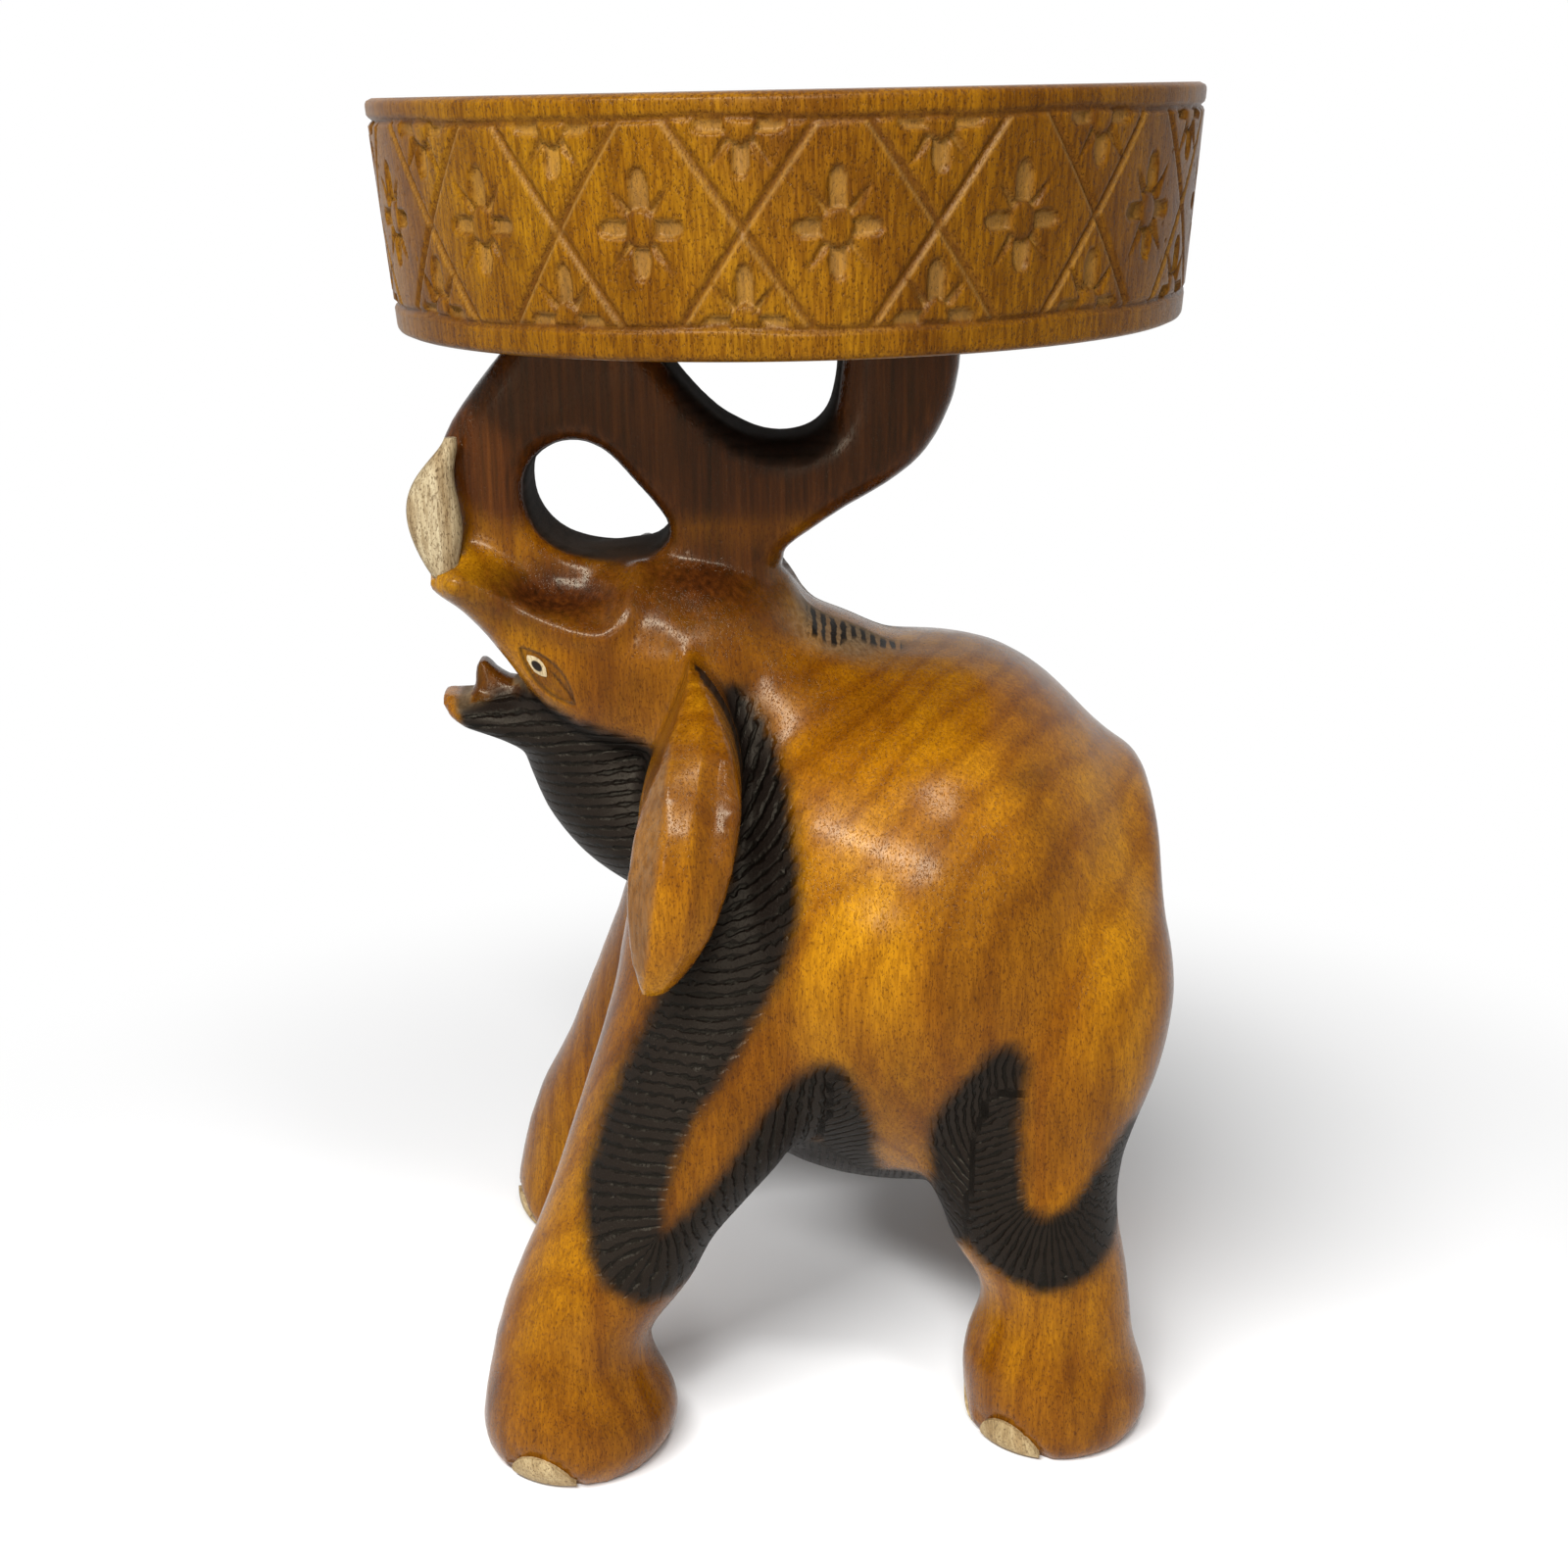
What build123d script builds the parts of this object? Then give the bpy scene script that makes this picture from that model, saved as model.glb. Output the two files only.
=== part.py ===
"""Carved elephant stool: an elephant whose raised trunk curls back over its head and carries a
round seat.  The elephant is carved from one log with the grain upright.  The seat is a drum that
is pegged and glued onto the trunk, and the tusks, toenails and eyes are let into the carving.

Millimetres, +Z up, origin on the floor under the seat's axis.  The elephant faces -X, so its
left flank is on the -Y side.
"""
import os
from math import cos, radians, sin

from build123d import *

os.makedirs("parts", exist_ok=True)

# ------------------------------------------------------------------ driving dimensions
# seat drum
seat_top_height = 460.0
seat_thickness = 74.5
seat_top_diameter = 278.0
seat_bottom_diameter = 266.0
seat_edge_radius = 5.0
rim_above_groove = 8.0  # plain rim above the upper border groove
rim_below_groove = 10.5  # plain rim under the lower one
border_groove_width = 3.0
border_groove_depth = 1.6

# barrel of the body, turned about a level axis
barrel_axis_height = 171.0
barrel_radius = 102.0
barrel_chest_x = -60.0
barrel_middle_x = 38.0
barrel_rump_x = 129.0

# legs: where each foot stands, and how stout it is
front_feet_x = -82.0
front_feet_y = 87.0  # each side of the middle
rear_feet_x = 88.0
rear_feet_y = 77.0
right_front_step = -7.0  # the right feet stand a little wider apart than the left ones
right_rear_step = 9.0
foot_radius = 33.0
sole_edge_radius = 5.0  # how far the flat sole stays inside the foot

# head
head_width = 92.0
jaw_tip_x = -127.0
temple_hollow_length = 54.0  # the hollow each side between brow and trunk
temple_hollow_height = 26.0
temple_hollow_bulge = 24.0  # how far the scoop swings out sideways

# trunk: a flat-sided S, the loop on the lip side and the tip at the back
curl_rise = 77.5  # from the crown of the head up to the seat
trunk_root_width = 50.0  # across the elephant, at the lip
trunk_tip_width = 42.0  # across the elephant, at the tip
trunk_edge_radius = 8.0
loop_front_x = -92.0  # where the loop's top meets the seat
loop_back_x = -50.0
tip_front_x = 17.0  # where the tip's end meets the seat
tip_back_x = 58.0

# ears
ear_root_drop = 31.0  # from the crown down to the top of the ear
ear_drop = 99.0  # from the ear's top down to its tip
ear_span = 117.0  # from the middle of the head to the widest part of the rim
ear_front_x = -56.0
ear_back_x = -19.0
ear_hollow_diameter = 62.0  # the shallow hollow in the front of each ear
ear_hollow_depth = 5.0

# fixings between seat and trunk
peg_diameter = 12.0
peg_length = 36.0
peg_clearance = 0.1  # all round, for glue

# tusks
tusk_x = -120.0
tusk_length = 48.0
tusk_width = 18.0
tusk_thickness = 11.0
tusk_clearance = 0.3
tenon_diameter = 5.0
tenon_length = 5.0
tenon_clearance = 0.1

# inlaid eyes and toenails
eye_x = -89.0
eye_length = 14.0
eye_width = 7.0
eye_slant = 48.0  # degrees that the eye leans down to the back
eye_plug_depth = 5.0
toenail_width = 24.0
toenail_height = 12.0
toenail_foot_gap = 1.5  # from the floor up to the nail
toenail_depth = 6.5
front_nail_bearings = (67.0, -12.0, -80.0)  # degrees outward from straight ahead
rear_nail_bearings = (49.0, -14.0, -77.0)
inlay_clearance = 0.05

# tail
tail_root_height = 230.0
tail_end_height = 86.0
tail_radius = 7.0

seat_underside = seat_top_height - seat_thickness
crown_height = seat_underside - curl_rise
ear_root_height = crown_height - ear_root_drop
ear_tip_height = ear_root_height - ear_drop
tusk_seat_height = crown_height - 5
tusk_y = (trunk_root_width + tusk_thickness) / 2
loop_peg_x = (loop_front_x + loop_back_x) / 2
tip_peg_x = (tip_front_x + tip_back_x) / 2
left = -1  # the side of the middle, as a factor of Y
right = 1

# ------------------------------------------------------------------ round seat
# A drum with softened edges, slightly wider at the top, ringed by two V-cut border grooves.
top_radius = seat_top_diameter / 2
bottom_radius = seat_bottom_diameter / 2


def drum_radius(height):
    """The drum's radius at a height above its underside."""
    return bottom_radius + (top_radius - bottom_radius) * height / seat_thickness


with BuildPart() as round_seat:
    with BuildSketch(Plane.XZ) as drum_profile:
        with BuildLine():
            Polyline(
                (0, seat_underside),
                (bottom_radius, seat_underside),
                (top_radius, seat_top_height),
                (0, seat_top_height),
                close=True,
            )
        make_face()
        rim_corners = drum_profile.vertices().filter_by(lambda corner: corner.X > 1)
        fillet(rim_corners, seat_edge_radius)
        for height in (rim_below_groove, seat_thickness - rim_above_groove):
            with BuildLine():
                Polyline(
                    (drum_radius(height) + 1, seat_underside + height - border_groove_width / 2),
                    (drum_radius(height) + 1, seat_underside + height + border_groove_width / 2),
                    (drum_radius(height) - border_groove_depth, seat_underside + height),
                    close=True,
                )
            make_face(mode=Mode.SUBTRACT)
    revolve(axis=Axis.Z)
    with Locations((loop_peg_x, 0, seat_underside), (tip_peg_x, 0, seat_underside)):
        Cylinder(
            peg_diameter / 2 + peg_clearance,
            peg_length / 2 + peg_clearance,
            align=(Align.CENTER, Align.CENTER, Align.MIN),
            mode=Mode.SUBTRACT,
        )
round_seat.part.label = "round_seat"
export_step(round_seat.part, "parts/round_seat.step")

# ------------------------------------------------------------------ seat pegs
# Two dowels, half in the seat and half in the trunk: one over the loop, one over the tip.
with BuildPart() as seat_pegs:
    with Locations((loop_peg_x, 0, seat_underside), (tip_peg_x, 0, seat_underside)):
        Cylinder(peg_diameter / 2, peg_length)
seat_pegs.part.label = "seat_pegs"
export_step(seat_pegs.part, "parts/seat_pegs.step")

# ------------------------------------------------------------------ barrel of the body
with BuildPart() as barrel:
    with BuildSketch(Plane.XZ):
        with BuildLine():
            back_line = Spline(
                (barrel_chest_x, barrel_axis_height),
                (barrel_chest_x + 22, barrel_axis_height + 0.64 * barrel_radius),
                (barrel_middle_x - 38, barrel_axis_height + 0.93 * barrel_radius),
                (barrel_middle_x, barrel_axis_height + barrel_radius),
                (barrel_rump_x - 43, barrel_axis_height + 0.88 * barrel_radius),
                (barrel_rump_x - 14, barrel_axis_height + 0.61 * barrel_radius),
                (barrel_rump_x, barrel_axis_height),
                tangents=[(0, 1), (0, -1)],
            )
            Line(back_line @ 1, back_line @ 0)
        make_face()
    revolve(axis=Axis((0, 0, barrel_axis_height), (1, 0, 0)))

# ------------------------------------------------------------------ legs
# Level ovals from the sole up into the barrel: height, how far the oval's middle lies behind the
# foot's middle and inside it, and its radii along X and Y as shares of the foot's radius.
rear_leg_ovals = [
    (9, 0, 0, 0.98, 0.97),
    (23, -1, 0, 0.97, 0.95),
    (36, -1.5, 1, 0.88, 0.88),
    (50, 0, 2, 0.80, 0.82),
    (63, -3, 4, 0.85, 0.88),
    (81, -9, 7, 0.94, 0.97),
    (100, -12, 12, 1.09, 1.06),
    (123, -9, 18, 1.28, 1.21),
    (150, -4, 22, 1.38, 1.27),
    (177, -3, 28, 1.33, 1.21),
    (204, -10, 36, 1.12, 1.00),
    (226, -25, 44, 0.70, 0.60),
]
front_leg_ovals = [
    (9, 0, 0, 1.02, 1.00),
    (28, -0.5, 0, 0.95, 0.94),
    (44, -1, 2, 0.83, 0.85),
    (57, 5, 4, 0.90, 0.88),
    (76, 16, 8, 0.97, 0.94),
    (97, 30, 14, 1.12, 1.00),
    (125, 45, 21, 1.27, 1.09),
    (160, 55, 31, 1.21, 1.18),
    (195, 61, 40, 1.15, 1.12),
    (225, 70, 50, 0.79, 0.75),
]
# Each pair of legs: the middle of its left foot, its ovals and the bearings of its nails.
pairs = {
    "front": (front_feet_x, front_feet_y, front_leg_ovals, front_nail_bearings),
    "rear": (rear_feet_x, rear_feet_y, rear_leg_ovals, rear_nail_bearings),
}
# Each leg: its pair, its side, and how far its foot has stepped along X.
legs = {
    "front_left": ("front", left, 0.0),
    "front_right": ("front", right, right_front_step),
    "rear_left": ("rear", left, 0.0),
    "rear_right": ("rear", right, right_rear_step),
}


def leg(name):
    """One leg, lofted from its flat sole up into the barrel; a step fades out up the leg."""
    pair, side, step = legs[name]
    foot_x, foot_y, ovals, _ = pairs[pair]
    hip_height = ovals[-1][0]
    with BuildPart() as one_leg:
        with BuildSketch(Plane.XY):
            with Locations((foot_x + step, side * foot_y)):
                Circle(foot_radius - sole_edge_radius)
        for height, behind, inside, along, across in ovals:
            x = foot_x + behind + step * (1 - height / hip_height)
            with BuildSketch(Plane.XY.offset(height)):
                with Locations((x, side * (foot_y - inside))):
                    Ellipse(along * foot_radius, across * foot_radius)
        loft()
    return one_leg.part


# ------------------------------------------------------------------ neck and throat
# Neck: ovals square to its own slope, from the back of the head down into the barrel.
with BuildPart() as neck:
    for x, z, across, deep in [
        (-34, crown_height - 41, 38, 30),
        (-14, crown_height - 57, 48, 42),
        (12, barrel_axis_height + 55, 62, 52),
        (40, barrel_axis_height + 31, 66, 52),
    ]:
        with BuildSketch(Plane(origin=(x, 0, z), x_dir=(0, 1, 0), z_dir=(0.78, 0, -0.62))):
            Ellipse(across, deep)
    loft()

# Throat: level ovals from the chest up to the hinge of the jaw.
chest_height = barrel_axis_height + 5
throat_rise = crown_height - 41 - chest_height
with BuildPart() as throat:
    for share, x, along, across in [
        (0.00, -10, 36, 34),
        (0.22, -41, 37, 38),
        (0.47, -59, 35, 33),
        (0.63, -68, 31, 28),
        (0.81, -75, 27, 25),
        (1.00, -70, 20, 22),
    ]:
        with BuildSketch(Plane.XY.offset(chest_height + share * throat_rise)):
            with Locations((x, 0)):
                Ellipse(along, across)
    loft()


# ------------------------------------------------------------------ head, jaw and tongue
def upright_sections(stations):
    """Loft through closed curves that face along X: x, top and bottom below the crown, width,
    and how full the upper and the lower corners are, from 0.71 in an ellipse up to 1."""
    with BuildPart() as form:
        for x, top_drop, bottom_drop, width, upper, lower in stations:
            middle = crown_height - (top_drop + bottom_drop) / 2
            wide = width / 2
            high = (bottom_drop - top_drop) / 2
            with BuildSketch(Plane.YZ.offset(x)):
                with BuildLine():
                    Spline(
                        (wide, middle),
                        (upper * wide, middle + upper * high),
                        (0, middle + high),
                        (-upper * wide, middle + upper * high),
                        (-wide, middle),
                        (-lower * wide, middle - lower * high),
                        (0, middle - high),
                        (lower * wide, middle - lower * high),
                        periodic=True,
                    )
                make_face()
        loft()
    return form.part


head = upright_sections(
    [
        (3, 22, 66, 0.61 * head_width, 0.72, 0.72),
        (-11, 5, 72, 0.85 * head_width, 0.72, 0.74),
        (-35, -1, 75, head_width, 0.73, 0.78),
        (-62, -1, 69, 0.94 * head_width, 0.73, 0.82),
        (-88, 0, 53, 0.82 * head_width, 0.75, 0.84),
        (-105, -3, 30, 0.80 * head_width, 0.82, 0.80),
        (-118, -2, 15, 0.84 * head_width, 0.88, 0.80),
        (-125, 2, 10, 0.70 * head_width, 0.84, 0.80),
    ]
)
jaw = upright_sections(
    [
        (jaw_tip_x, 52, 56, 14, 0.71, 0.71),
        (jaw_tip_x + 6, 53, 63, 32, 0.80, 0.75),
        (jaw_tip_x + 19, 56, 68, 38, 0.84, 0.75),
        (jaw_tip_x + 31, 55, 74, 44, 0.82, 0.75),
        (jaw_tip_x + 47, 52, 81, 50, 0.78, 0.75),
    ]
)


def temple_hollow(side):
    """The scoop between brow and trunk, turned about a level axis beside the head."""
    with BuildPart() as hollow:
        with BuildSketch(Plane.XY):
            Ellipse(temple_hollow_length / 2, temple_hollow_bulge)
            Rectangle(
                2 * temple_hollow_length,
                2 * temple_hollow_bulge,
                align=(Align.CENTER, Align.MAX),
                mode=Mode.SUBTRACT,
            )
        revolve(axis=Axis.X)
        scale(by=(1, 1, temple_hollow_height / (2 * temple_hollow_bulge)))
    beside_trunk = side * (trunk_root_width / 2 + 1 + temple_hollow_bulge)
    return Location((-80, beside_trunk, crown_height - 7)) * hollow.part


with BuildPart() as tongue:
    with BuildSketch(Plane.XZ):
        with BuildLine():
            Polyline(
                (jaw_tip_x + 41, crown_height - 68),
                (jaw_tip_x + 12, crown_height - 62),
                (jaw_tip_x + 12, crown_height - 43),
                (jaw_tip_x + 15, crown_height - 38),
            )
            Spline(
                (jaw_tip_x + 15, crown_height - 38),
                (jaw_tip_x + 23, crown_height - 47),
                (jaw_tip_x + 41, crown_height - 48),
            )
            Line((jaw_tip_x + 41, crown_height - 48), (jaw_tip_x + 41, crown_height - 68))
        make_face()
    extrude(amount=7, both=True)

# ------------------------------------------------------------------ trunk
# It rises from the lip, loops back, rests on the crown and turns up again to carry the seat.
def above_crown(share):
    """A height between the crown, at 0, and the seat's underside, at 1."""
    return crown_height + share * curl_rise


with BuildPart() as trunk:
    with BuildSketch(Plane.XZ):
        with BuildLine():
            Line((loop_front_x, seat_underside), (loop_back_x, seat_underside))
            Spline(
                (loop_back_x, seat_underside),
                (loop_back_x + 11, above_crown(0.78)),
                (loop_back_x + 26, above_crown(0.58)),
                (-2, above_crown(0.48)),
                (tip_front_x - 7, above_crown(0.53)),
                (tip_front_x - 1, above_crown(0.73)),
                (tip_front_x, seat_underside),
            )
            Line((tip_front_x, seat_underside), (tip_back_x, seat_underside))
            Spline(
                (tip_back_x, seat_underside),
                (tip_back_x - 1, above_crown(0.70)),
                (tip_back_x - 16, above_crown(0.36)),
                (25, above_crown(0.22)),
                (-2, crown_height),
                (-20, crown_height - 18),
            )
            Polyline(
                (-20, crown_height - 18),
                (-95, crown_height - 20),
                (-121, crown_height - 8),
            )
            Spline(
                (-121, crown_height - 8),
                (-119, crown_height - 3),
                (loop_front_x - 24, above_crown(0.16)),
                (loop_front_x - 28, above_crown(0.47)),
                (loop_front_x - 20, above_crown(0.67)),
                (loop_front_x, seat_underside),
            )
        make_face()
        with BuildLine():
            Spline(
                (-92, above_crown(0.29)),
                (-87, above_crown(0.45)),
                (-76, above_crown(0.51)),
                (-65, above_crown(0.47)),
                (-53, above_crown(0.30)),
                (-43, above_crown(0.08)),
                (-52, crown_height - 1),
                (-66, crown_height - 1),
                (-80, above_crown(0.03)),
                (-89, above_crown(0.14)),
                periodic=True,
            )
        make_face(mode=Mode.SUBTRACT)
    extrude(amount=trunk_root_width, both=True)
    with BuildSketch(Plane.XY.offset(crown_height - 60)):
        with BuildLine():
            Polyline(
                (-140, -trunk_root_width / 2),
                (loop_back_x, -trunk_root_width / 2),
                (tip_back_x + 5, -trunk_tip_width / 2),
                (tip_back_x + 5, trunk_tip_width / 2),
                (loop_back_x, trunk_root_width / 2),
                (-140, trunk_root_width / 2),
                close=True,
            )
        make_face()
    extrude(amount=curl_rise + 120, mode=Mode.INTERSECT)
    flank_edges = trunk.edges().filter_by(
        lambda edge: abs(edge.center().Y) > trunk_tip_width / 2 - 1
        and edge.bounding_box().size.X > 1
        and crown_height - 6 < edge.center().Z < seat_underside - 1
    )
    fillet(flank_edges, trunk_edge_radius)


# ------------------------------------------------------------------ ears
def ear(side):
    """A thick flap that stands out from the head: its front outline crossed with its side one."""
    drop = ear_drop
    middle_x = (ear_front_x + ear_back_x) / 2
    with BuildPart() as one_ear:
        with BuildSketch(Plane.YZ):
            with BuildLine():
                Spline(
                    (side * 30, ear_root_height + 2),
                    (side * 0.66 * ear_span, ear_root_height - 4),
                    (side * 0.90 * ear_span, ear_root_height - 0.27 * drop),
                    (side * ear_span, ear_root_height - 0.55 * drop),
                    (side * 0.97 * ear_span, ear_tip_height + 0.12 * drop),
                    (side * 0.91 * ear_span, ear_tip_height),
                )
                Spline(
                    (side * 0.91 * ear_span, ear_tip_height),
                    (side * 0.78 * ear_span, ear_tip_height + 0.18 * drop),
                    (side * 0.60 * ear_span, ear_tip_height + 0.34 * drop),
                    (side * 20, ear_tip_height + 0.50 * drop),
                )
                Line((side * 20, ear_tip_height + 0.50 * drop), (side * 30, ear_root_height + 2))
            make_face()
        extrude(amount=200, both=True)
        with BuildSketch(Plane.XZ) as side_outline:
            with BuildLine():
                Spline(
                    (middle_x + 2, ear_root_height + 2),
                    (ear_front_x + 13, ear_root_height - 0.18 * drop),
                    (ear_front_x + 3, ear_root_height - 0.43 * drop),
                    (ear_front_x, ear_root_height - 0.66 * drop),
                    (ear_front_x + 3, ear_tip_height),
                )
                Line((ear_front_x + 3, ear_tip_height), (ear_front_x + 9, ear_tip_height))
                Spline(
                    (ear_front_x + 9, ear_tip_height),
                    (ear_back_x - 12, ear_tip_height + 0.20 * drop),
                    (ear_back_x - 3, ear_tip_height + 0.45 * drop),
                    (ear_back_x, ear_tip_height + 0.62 * drop),
                    (ear_back_x - 3, ear_root_height - 0.18 * drop),
                    (middle_x + 2, ear_root_height + 2),
                )
            make_face()
        extrude(amount=200, both=True, mode=Mode.INTERSECT)
        hollow_radius = (ear_hollow_diameter**2 / 4 + ear_hollow_depth**2) / (2 * ear_hollow_depth)
        with Locations(
            (
                ear_front_x + ear_hollow_depth - hollow_radius,
                side * 0.72 * ear_span,
                ear_tip_height + 0.52 * drop,
            )
        ):
            Sphere(hollow_radius, mode=Mode.SUBTRACT)
    return one_ear.part


# ------------------------------------------------------------------ tail
# Carved in relief down the cleft of the rump, with a tuft at its end.
tail_drop = tail_root_height - tail_end_height
with BuildPart() as tail:
    for share, inside, along, across in [
        (0.00, 21, 1.2, 1.1),
        (0.12, 11, 1.1, 1.1),
        (0.40, 1, 0.9, 0.9),
        (0.65, 4, 0.8, 0.8),
        (0.82, 12, 1.1, 1.2),
        (0.94, 20, 1.2, 1.3),
        (1.00, 26, 0.7, 0.7),
    ]:
        with BuildSketch(Plane.XY.offset(tail_root_height - share * tail_drop)):
            with Locations((barrel_rump_x - inside, 0)):
                Ellipse(along * tail_radius, across * tail_radius)
    loft()


# ------------------------------------------------------------------ tusks
def tusk(side, grow=0.0):
    """A leaf-shaped blade that stands on the lip beside the trunk, bowed to the front."""
    with BuildPart() as blade:
        for share, bow, wide, thick in [
            (0.00, 2.5, 0.60, 0.70),
            (0.16, -0.5, 0.74, 0.92),
            (0.34, -1.2, 1.00, 1.00),
            (0.60, -1.7, 0.92, 0.94),
            (0.82, 1.6, 0.54, 0.72),
            (1.00, 5.5, 0.22, 0.36),
        ]:
            with BuildSketch(Plane.XY.offset(tusk_seat_height + share * tusk_length)):
                with Locations((tusk_x + bow, side * tusk_y)):
                    Ellipse(wide * tusk_width / 2 + grow, thick * tusk_thickness / 2 + grow)
        loft()
    return blade.part


def tenon(side, grow=0.0):
    """The round peg under a tusk, glued into the lip."""
    with BuildPart() as pin:
        with Locations((tusk_x + 2.5, side * tusk_y, tusk_seat_height + 2)):
            Cylinder(
                tenon_diameter / 2 + grow,
                tenon_length + 2 + grow,
                align=(Align.CENTER, Align.CENTER, Align.MAX),
            )
    return pin.part


for side, name in ((left, "left_tusk"), (right, "right_tusk")):
    with BuildPart() as whole_tusk:
        add(tusk(side))
        add(tenon(side))
    whole_tusk.part.label = name
    export_step(whole_tusk.part, f"parts/{name}.step")

# ------------------------------------------------------------------ the carving before its inlays
with BuildPart() as bare_carving:
    add(barrel.part)
    for name in legs:
        add(leg(name))
    add(neck.part)
    add(throat.part)
    add(head)
    add(jaw)
    add(tongue.part)
    add(trunk.part)
    add(tail.part)
    for side in (left, right):
        add(ear(side))
        add(temple_hollow(side), mode=Mode.SUBTRACT)


# ------------------------------------------------------------------ eyes
cheek_y = 0.33 * head_width  # the cheek's surface at the eye


def eye_plug(side, grow=0.0):
    """An almond-shaped plug let in through the cheek."""
    plane = Plane(
        origin=(eye_x, side * head_width / 2, crown_height - 35),
        x_dir=(cos(radians(eye_slant)), 0, -sin(radians(eye_slant))),
        z_dir=(0, side, 0),
    )
    half_length = eye_length / 2 + grow
    half_width = eye_width / 2 + grow
    with BuildPart() as plug:
        with BuildSketch(plane):
            with BuildLine():
                ThreePointArc((-half_length, 0), (0, half_width), (half_length, 0))
                ThreePointArc((half_length, 0), (0, -half_width), (-half_length, 0))
            make_face()
        extrude(amount=-(head_width / 2 - cheek_y + eye_plug_depth + grow))
    return plug.part


# ------------------------------------------------------------------ toenails
def nail_blanks(name, grow=0.0):
    """Half-round chips that stand in the edge of a foot, one at each bearing."""
    pair, side, step = legs[name]
    foot_x, foot_y, _, bearings = pairs[pair]
    with BuildPart() as blanks:
        for bearing in bearings:
            outward = (-cos(radians(bearing)), side * sin(radians(bearing)), 0)
            face = Plane(
                origin=(foot_x + step, side * foot_y, toenail_foot_gap - grow),
                x_dir=(-outward[1], outward[0], 0),
                z_dir=outward,
            ).offset(foot_radius - toenail_depth - grow)
            with BuildSketch(face):
                Ellipse(toenail_width / 2 + grow, toenail_height + 2 * grow)
                Rectangle(
                    2 * toenail_width,
                    2 * toenail_height,
                    align=(Align.CENTER, Align.MAX),
                    mode=Mode.SUBTRACT,
                )
            extrude(amount=2 * toenail_depth)
    return blanks.part


# Each inlay is the carving's own surface inside its blank, so that it lies flush.
for side, name in ((left, "left_eye"), (right, "right_eye")):
    with BuildPart() as eye:
        add(eye_plug(side))
        add(bare_carving.part, mode=Mode.INTERSECT)
    eye.part.label = name
    export_step(eye.part, f"parts/{name}.step")

for name in legs:
    with BuildPart() as toenails:
        add(nail_blanks(name))
        add(bare_carving.part, mode=Mode.INTERSECT)
    toenails.part.label = f"toenails_{name}"
    export_step(toenails.part, f"parts/toenails_{name}.step")

# ------------------------------------------------------------------ the finished carving
with BuildPart() as carved_elephant:
    add(bare_carving.part)
    with Locations((loop_peg_x, 0, seat_underside), (tip_peg_x, 0, seat_underside)):
        Cylinder(
            peg_diameter / 2 + peg_clearance,
            peg_length / 2 + peg_clearance,
            align=(Align.CENTER, Align.CENTER, Align.MAX),
            mode=Mode.SUBTRACT,
        )
    for side in (left, right):
        add(tusk(side, tusk_clearance), mode=Mode.SUBTRACT)
        add(tenon(side, tenon_clearance), mode=Mode.SUBTRACT)
        add(eye_plug(side, inlay_clearance), mode=Mode.SUBTRACT)
    for name in legs:
        add(nail_blanks(name, inlay_clearance), mode=Mode.SUBTRACT)
carved_elephant.part.label = "carved_elephant"
export_step(carved_elephant.part, "parts/carved_elephant.step")
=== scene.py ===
import math

import bmesh
import bpy
import numpy as np
from mathutils import Matrix, Vector, kdtree, noise
from mathutils.bvhtree import BVHTree


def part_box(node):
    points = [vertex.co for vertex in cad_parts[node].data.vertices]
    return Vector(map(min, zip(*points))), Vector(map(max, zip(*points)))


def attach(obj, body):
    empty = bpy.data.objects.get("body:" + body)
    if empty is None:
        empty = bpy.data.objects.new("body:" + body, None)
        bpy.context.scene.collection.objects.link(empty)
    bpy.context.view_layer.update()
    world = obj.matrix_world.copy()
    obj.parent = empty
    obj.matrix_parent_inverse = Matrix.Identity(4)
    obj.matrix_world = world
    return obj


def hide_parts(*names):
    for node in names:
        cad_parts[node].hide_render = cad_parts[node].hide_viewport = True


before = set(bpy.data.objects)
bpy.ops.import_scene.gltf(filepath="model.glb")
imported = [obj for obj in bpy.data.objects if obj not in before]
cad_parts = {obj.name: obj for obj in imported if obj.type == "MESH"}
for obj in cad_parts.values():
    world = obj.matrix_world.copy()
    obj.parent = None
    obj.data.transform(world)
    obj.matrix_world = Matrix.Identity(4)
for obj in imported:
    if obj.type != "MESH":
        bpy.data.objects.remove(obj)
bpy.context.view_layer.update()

# ---------------------------------------------------------------- the carving's form
# The elephant is cut from one log of rain tree, grain upright, with gouge and knife, then sanded.
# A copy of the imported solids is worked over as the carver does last: the legs are run softly into
# the barrel, brow, ears and eye sockets are cut crisp, and a bed is let in for each toenail.
skin_mesh = 0.00275  # metres, the size of the skin's square faces; metres, which keeps the finished piece under 200,000 triangles
nail_names = [f"toenails_{end}_{flank}" for end in ("front", "rear") for flank in ("left", "right")]
eye_names = ["left_eye", "right_eye"]
carving_low, carving_high = (np.array(corner) * 1000 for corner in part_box("carved_elephant"))
carving_length = carving_high[0] - carving_low[0]
carving_height = carving_high[2]


def side_place(along, up):
    """A place in side view in millimetres, from its shares of the carving's length and height."""
    return carving_low[0] + along * carving_length, up * carving_height


same_place = 1e-6  # metres


def merged_copy(names):
    """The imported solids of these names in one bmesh, with their loose triangles joined up."""
    form = bmesh.new()
    for name in names:
        form.from_mesh(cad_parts[name].data)
    bmesh.ops.remove_doubles(form, verts=form.verts, dist=same_place)
    return form


def new_piece(form, name, *materials):
    """A finished bmesh as a smooth-shaded object at the origin that rides on the stool."""
    mesh = bpy.data.meshes.new(name)
    form.to_mesh(mesh)
    form.free()
    mesh.shade_smooth()
    piece = bpy.data.objects.new(name, mesh)
    bpy.context.scene.collection.objects.link(piece)
    for material in materials:
        mesh.materials.append(material)
    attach(piece, "root")
    return piece


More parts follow.
